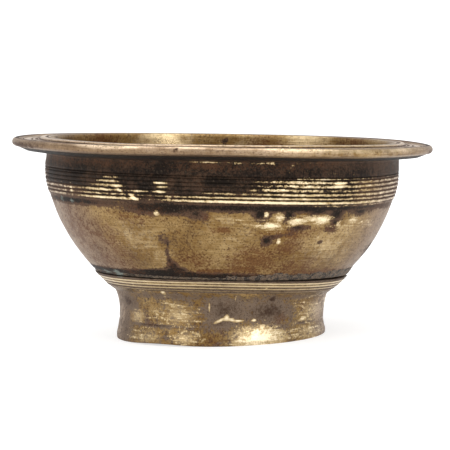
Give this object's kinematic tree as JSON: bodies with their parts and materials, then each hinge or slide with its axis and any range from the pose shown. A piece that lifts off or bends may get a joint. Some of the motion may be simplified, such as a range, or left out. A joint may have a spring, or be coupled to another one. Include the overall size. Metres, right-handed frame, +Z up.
{
  "type": "diya oil lamp",
  "caption": "Footed brass oil lamp: turned bowl with a flanged rim, soldered into a flared hollow foot ring, with a loose cotton wick inside.",
  "frame": {"origin": "on the ground, under the centre of the rim's outer circle", "axes": "+Z up out of the flat underside of the foot; the lamp's own axis leans 3.1 degrees from +Z, 34.3 degrees from +X towards +Y"},
  "size_m": [0.111, 0.111, 0.0543],
  "materials": {
    "bowl_brass": "old cast and turned brass, brown-black patina with bright rubbed lines",
    "foot_brass": "old cast brass, scratched, brown patina worn through to bright metal near the ground",
    "solder": "dark granular brazing solder with grime and verdigris",
    "cotton": "soft twisted cotton, a little oil-stained, tip scorched"
  },
  "bodies": {
    "lamp": {"bowl": "bowl_brass", "foot": "foot_brass", "solder_ring": "solder"},
    "wick": {"cotton_wick": "cotton"}
  },
  "joints": [
    {"name": "wick_lift", "type": "slide", "parent": "lamp", "child": "wick", "axis": [0.0447, 0.0305, 0.9985], "range_m": [0, 0.045]}
  ]
}
